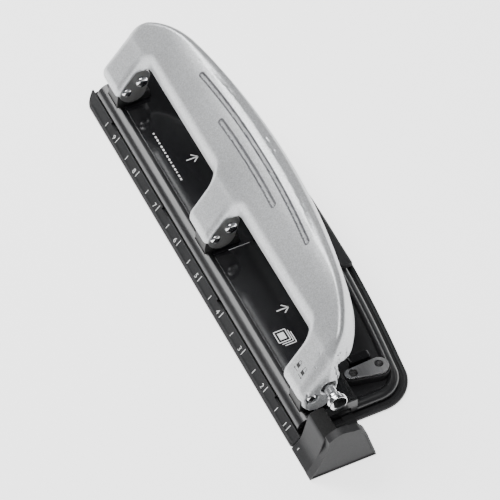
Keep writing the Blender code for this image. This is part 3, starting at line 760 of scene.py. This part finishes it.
def make_bolts():
    """Each leg's two bolts with domed heads, its bracket and its punch pin."""
    for i, x in enumerate(STATIONS, 1):
        outer = high(f"pivot_bolt_{i}").x - x
        head = [(outer + 0.15, 0.1), (outer + 0.1, 0.9), (outer - 0.1, 1.7), (outer - 0.5, 2.25),
                (outer - 1.1, 2.55), (outer - 1.55, 2.6), (outer - 1.6, 1.6)]
        bolt = lathe(f"pivot_bolt_{i}_fine", mirrored(head, x), PIVOT, CHROME)
        placed(bolt, "base", f"pivot_bolt_{i}")
        outer = x - low(f"drive_bolt_{i}").x
        head = [(outer + 0.15, 0.1), (outer + 0.1, 1.2), (outer - 0.15, 2.2), (outer - 0.6, 2.95),
                (outer - 1.3, 3.35), (outer - 1.85, 3.4), (outer - 1.9, 2.0)]
        profile = mirrored(head, x)
        if i == 3:
            profile = profile[:len(head)] + [(high("drive_bolt_3").x, 2.0)]
        placed(lathe(f"drive_bolt_{i}_fine", profile, DRIVE, CHROME), "handle", f"drive_bolt_{i}")
        refined(f"lever_bracket_{i}", "handle", BRACKET, 0.3, 3)
        refined(f"punch_pin_{i}", f"punch_{i}", STEEL, 0.15, 2)


def make_springs():
    """The coils, with their ends on the base under the pins' slides, each with a mesh of its own.
    """
    wire, turns, per_turn, sides = 0.42, 4, 40, 10
    for i, x in enumerate(STATIONS, 1):
        node = f"return_spring_{i}"
        bottom, top = low(node).z, high(node).z
        radius = (high(node).x - low(node).x) / 2 - wire
        rings = []
        for n in range(turns * per_turn + 1):
            turn = 2 * math.pi * n / per_turn
            outward = Vector((math.cos(turn), math.sin(turn), 0))
            z = bottom + wire + (top - bottom - 2 * wire) * n / (turns * per_turn)
            centre = Vector((x, PUNCH_Y, z)) + outward * radius
            ring = []
            for k in range(sides):
                a = 2 * math.pi * k / sides
                ring.append(centre + (outward * math.cos(a) + Vector((0, 0, math.sin(a)))) * wire)
            rings.append(ring)
        bm = bmesh.new()
        loft(bm, rings)
        coil = new_object(node + "_fine", bm, STEEL)
        coil.data.shade_smooth()
        placed(coil, "base", node)
        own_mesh(coil)


def make_lock_pin():
    """A stepped shank, a collar and a dished head."""
    x = low("lock_pin").x
    profile = [(0.0, 0.2), (0.0, 1.1), (2.7, 1.1), (2.7, 2.6), (8.6, 2.75), (9.5, 3.0), (10.0, 3.5),
               (11.9, 3.5), (12.2, 4.6), (12.9, 5.0), (14.2, 5.0), (14.85, 4.7), (14.9, 4.2),
               (14.4, 3.6), (13.9, 2.2), (13.7, 0.1)]
    pin = lathe("lock_pin_fine", [(x + along, radius) for along, radius in profile], DRIVE, CHROME,
                steps=64)
    placed(pin, "lock", "lock_pin")


# The guide ----------------------------------------------------------------------------------
# The block's top, above this height and flatter than this, gets the dark rubber finish as painted
# shade.
SHADE_BAND_Z, SHADE_BAND_LEVEL = 22.6, 0.7
RIM_WIDTH, RIM_SIDE, RIM_DEPTH = 1.0, 0.3, 0.45


def make_guide():
    """A block whose front carries on the ruler's slope, and a fin with a raised rim."""
    foot = GUIDE_LOW.z
    inner, outer = GUIDE_INNER, PAPER_EDGE + 0.6
    front = [(TRAY_LOW.y, foot), (TRAY_LOW.y, foot + 0.8), (RULER_BACK + 0.1, RULER_TOP + 0.3)]
    slope = smooth_profile(front[1:] + [(-30.6, 16.5), (-29.2, 22.0), (-27.2, 23.9), (-21.2, 24.0),
                                        (-20.7, 21.5), (-20.9, foot)], 6)
    body = prism("guide_block", [front[0]] + slope, (inner, outer), "X", GREY)
    rounded(body, 0.7, 4, 40)
    # The top faces get the dark rubber finish: painted shade on the block's top.
    body.data.materials.append(RUBBER_AND_SHADE)
    for face in body.data.polygons:
        if face.center.z > SHADE_BAND_Z * MM and face.normal.z > SHADE_BAND_LEVEL:
            face.material_index = 1
    placed(body, "guide", "paper_guide")
    y = TRAY_LOW.y
    fin = [(y, foot), (y + 0.3, foot + 1.4), (y + 3.0, 5.4), (y + 6.2, 11.3), (y + 9.6, 18.4)]
    fin += arc((y + 17.8, 16.4), 10.6, 135, 62, 12)
    fin += arc((y + 19.2, 16.0), 11.6, 56, 8, 10)
    fin += [(y + 33.4, 7.6), (y + 34.6, 3.0), (y + 35.0, foot)]
    plate = prism("guide_fin", fin, (PAPER_EDGE, GUIDE_HIGH.x), "X", GREY)
    bm = bmesh.new()
    bm.from_mesh(plate.data)
    face = max(bm.faces, key=lambda f: f.calc_center_median().x)
    bmesh.ops.inset_region(bm, faces=[face], thickness=RIM_WIDTH * MM, depth=0.0)
    bmesh.ops.inset_region(bm, faces=[face], thickness=RIM_SIDE * MM, depth=-RIM_DEPTH * MM)
    bm.to_mesh(plate.data)
    bm.free()
    placed(rounded(plate, 0.4, 3, 35), "guide")
    tongue = block("guide_tongue", (72, inner + 2), (-9.6, -3.6), (2.05, 2.95), GREY)
    placed(rounded(tongue, 0.2, 2), "guide")
    sole = block("guide_foot", (inner, outer), (-21.4, -3.6), (2.0, 3.0), GREY)
    placed(rounded(sole, 0.2, 2), "guide")


# Prints ---------------------------------------------------------------------------------------
# A print's thickness and the gap under it, and the direction along the paper's edge.
PRINT, CLEAR = 0.05, 0.02
ALONG = Vector((1, 0, 0))
# Middle of each arrow's tip on the panels, and the row of dashes.
ARROWS = ((-53.7, -5.6), (54.2, -6.4))
DASHES, DASH_START, DASH_PITCH, DASH_Y = 15, -78.0, 2.4, -19.5


def flat_shape(bm, outline, matrix):
    """A closed flat outline, made a thin print on the surface that the matrix gives."""
    loft(bm, [[matrix @ Vector((a, b, t)) for a, b in outline] for t in (0.0, PRINT)])


def stroke(start, end, width):
    """The outline of a straight line of the given width."""
    a, b = Vector(start), Vector(end)
    side = (b - a).normalized().orthogonal() * width / 2
    return [tuple(p) for p in (a - side, b - side, b + side, a + side)]


def lettering(bm, text, size, matrix):
    """A number, as a thin print."""
    curve = bpy.data.curves.new("digit", "FONT")
    curve.body = text
    curve.size = size
    curve.extrude = PRINT / 2
    curve.align_x, curve.align_y = "CENTER", "CENTER"
    obj = bpy.data.objects.new("digit", curve)
    bpy.context.scene.collection.objects.link(obj)
    mesh = bpy.data.meshes.new_from_object(obj)
    mesh.transform(matrix @ Matrix.Translation((0, 0, PRINT / 2)))
    bm.from_mesh(mesh)
    bpy.data.objects.remove(obj)


def on_ruler(x, up):
    """A place on the ruler's slope: along the edge, and up from its top corner."""
    slope = Vector((0, RULER_BACK - TRAY_LOW.y, RULER_TOP - RULER_FOOT)).normalized()
    normal = ALONG.cross(slope)
    place = Vector((x, RULER_BACK - 0.15, RULER_TOP - 0.15)) + slope * up + normal * CLEAR
    return axes(place, ALONG, slope, normal)


def make_ruler_marks():
    """A tick each half inch from the paper's edge, and a number each inch."""
    long_tick, short_tick, wide, digit = 4.6, 2.8, 0.38, 3.9
    bm = bmesh.new()
    for half_inches in range(2, 20):
        x = PAPER_EDGE - INCH * half_inches / 2
        whole = half_inches % 2 == 0
        length = long_tick if whole else short_tick
        start = -0.6 if whole else -1.6
        flat_shape(bm, stroke((0, start), (0, start - length), wide), on_ruler(x, 0))
        if whole:
            lettering(bm, str(half_inches // 2), digit, on_ruler(x - 3.0, -3.3))
    placed(new_object("ruler_marks", bm, WHITE), "tray")
    bm = bmesh.new()
    tick = stroke((0, -1.6), (0, -1.6 - short_tick), wide)
    flat_shape(bm, tick, on_ruler(PAPER_EDGE - INCH / 2, 0))
    placed(new_object("guide_mark", bm, WHITE), "guide")


def make_panel_marks():
    """An arrow in each window, a stack of sheets, and a row of dashes for the capacity line."""
    top = Matrix.Translation((0, 0, PANEL_TOP + 0.01))
    bm = bmesh.new()
    for x, y in ARROWS:
        for start in ((x, y - 6.4), (x - 2.6, y - 3.0), (x + 2.6, y - 3.0)):
            flat_shape(bm, stroke(start, (x, y), 0.6), top)
    x, y, wide, deep = 65.6, -20.0, 7.0, 6.0
    corners = [(x, y), (x + wide, y), (x + wide, y + deep), (x, y + deep)]
    for a, b in zip(corners, corners[1:] + corners[:1]):
        flat_shape(bm, stroke(a, b, 0.5), top)
    inner = [(x + 1.4, y + 1.3), (x + wide - 1.4, y + 1.3), (x + wide - 1.4, y + deep - 1.3),
             (x + 1.4, y + deep - 1.3)]
    flat_shape(bm, inner, top)
    for shift in (1.3, 2.6):
        edge = [(x + shift, y + deep + shift * 0.75), (x + wide + shift, y + deep + shift * 0.75),
                (x + wide + shift, y + shift * 0.75)]
        for a, b in zip(edge, edge[1:]):
            flat_shape(bm, stroke(a, b, 0.45), top)
    for i in range(DASHES):
        start = DASH_START + DASH_PITCH * i
        end = start + (1.5 if i % 3 else 1.0)
        flat_shape(bm, stroke((start, DASH_Y), (end, DASH_Y), 0.9), top)
    flat_shape(bm, stroke((8.9, -17.5), (8.9, -6.0), 0.25), top)
    placed(new_object("panel_marks", bm, WHITE), "base")


def on_leg(x, y):
    """A place on the front slope of the handle, its second axis up the slope."""
    height, slope = FRONT_LINE(y)
    up = Vector((0, 1, float(slope))).normalized()
    normal = ALONG.cross(up)
    return axes(Vector((x, y, float(height))) + normal * CLEAR, ALONG, up, normal)


def make_lock_marks():
    """A shut and an open padlock on the guide end's leg, each with an arrow."""
    bm = bmesh.new()
    for x, y, lift, way in ((104.6, -24.4, 0.0, -1), (109.4, -24.6, 0.7, 1)):
        matrix = on_leg(x, y)
        flat_shape(bm, [(-1.2, -1.9), (1.2, -1.9), (1.2, 0.1), (-1.2, 0.1)], matrix)
        bow = arc((0, 0.9 + lift), 0.85, 0, 180, 8)
        bow = [(0.85, 0.1 if not lift else 0.8)] + bow + [(-0.85, 0.1)]
        for one, two in zip(bow, bow[1:]):
            flat_shape(bm, stroke(one, two, 0.3), matrix)
        tail, tip = (-1.6 * way, -3.3), (1.6 * way, -3.3)
        for start in (tail, (tip[0] - 0.8 * way, -2.8), (tip[0] - 0.8 * way, -3.8)):
            flat_shape(bm, stroke(start, tip, 0.3), matrix)
    placed(new_object("lock_marks", bm, BLACK_PRINT), "handle")


# Stage, light and camera, in metres and watts -------------------------------------------------
FLOOR_HALF = 2500
GLOW_START, GLOW_END, GLOW_NEAR, GLOW_FAR = 0.25, 0.5, 1.9, 0.1
SKY, SKY_STRENGTH = (0.95, 0.97, 1.0, 1), 0.13
AIM = Vector((0, 0, 0.03))
SOFTBOXES = (
    ("side", (-1.00, -0.45, 1.20), (0.8, 1.0), 26),
    ("top", (0.35, -0.35, 1.7), (1.1, 0.9), 24),
    ("back", (-0.6, 1.3, 0.9), (1.0, 0.4), 2),
)
AZIMUTH, ELEVATION, CAMERA_ROLL = 66.25, 50.58, 1.82
LENS, CAMERA_PLACE = 236.57, (0.95808, -0.42360, 1.26847)


def softbox(name, place, size, power):
    """An area light that points at the object."""
    light = bpy.data.lights.new(name, "AREA")
    light.shape = "RECTANGLE"
    light.size, light.size_y = size
    light.energy = power
    obj = bpy.data.objects.new(name, light)
    bpy.context.scene.collection.objects.link(obj)
    obj.location = place
    obj.rotation_euler = (AIM - Vector(place)).to_track_quat("-Z", "Y").to_euler()


def make_stage():
    """A white floor that glows round the object, a dim sky and three softboxes."""
    bm = bmesh.new()
    bmesh.ops.create_grid(bm, x_segments=8, y_segments=8, size=FLOOR_HALF)
    floor = new_object("studio_floor", bm)
    look = bpy.data.materials.new("studio_white")
    look.use_nodes = True
    tree = look.node_tree
    shader = tree.nodes["Principled BSDF"]
    shader.inputs["Base Color"].default_value = (0.92, 0.92, 0.92, 1)
    shader.inputs["Roughness"].default_value = 0.9
    shader.inputs["Emission Color"].default_value = (1, 1, 1, 1)
    place = add_node(tree, "TexCoord")
    away = add_node(tree, "VectorMath", operation="LENGTH")
    fade = add_node(tree, "MapRange", interpolation_type="SMOOTHSTEP")
    fade.inputs["From Min"].default_value = GLOW_START
    fade.inputs["From Max"].default_value = GLOW_END
    fade.inputs["To Min"].default_value = GLOW_NEAR
    fade.inputs["To Max"].default_value = GLOW_FAR
    tree.links.new(place.outputs["Object"], away.inputs[0])
    tree.links.new(away.outputs["Value"], fade.inputs["Value"])
    tree.links.new(fade.outputs["Result"], shader.inputs["Emission Strength"])
    floor.data.materials.append(look)
    world = bpy.data.worlds.new("studio")
    world.use_nodes = True
    background = world.node_tree.nodes["Background"]
    background.inputs["Color"].default_value = SKY
    background.inputs["Strength"].default_value = SKY_STRENGTH
    bpy.context.scene.world = world
    for box in SOFTBOXES:
        softbox(*box)


def make_camera():
    """A long lens on the operator's right, looking down along the punch."""
    azimuth, elevation, roll = (math.radians(a) for a in (AZIMUTH, ELEVATION, CAMERA_ROLL))
    level = math.cos(elevation)
    back = Vector((math.sin(azimuth) * level, -math.cos(azimuth) * level, math.sin(elevation)))
    right = Vector((0, 0, 1)).cross(back).normalized()
    up = back.cross(right)
    c, s = math.cos(roll), math.sin(roll)
    right, up = c * right - s * up, s * right + c * up
    camera = bpy.data.cameras.new("camera")
    camera.lens = LENS
    obj = bpy.data.objects.new("camera", camera)
    bpy.context.scene.collection.objects.link(obj)
    obj.matrix_world = axes(CAMERA_PLACE, right, up, back)
    bpy.context.scene.camera = obj


def main():
    """Makes the stage, the pieces and the prints."""
    make_camera()
    make_stage()
    make_handle()
    make_tray()
    make_deck()
    make_body()
    make_base_pieces()
    make_bolts()
    make_springs()
    make_lock_pin()
    make_guide()
    make_ruler_marks()
    make_panel_marks()
    make_lock_marks()


main()
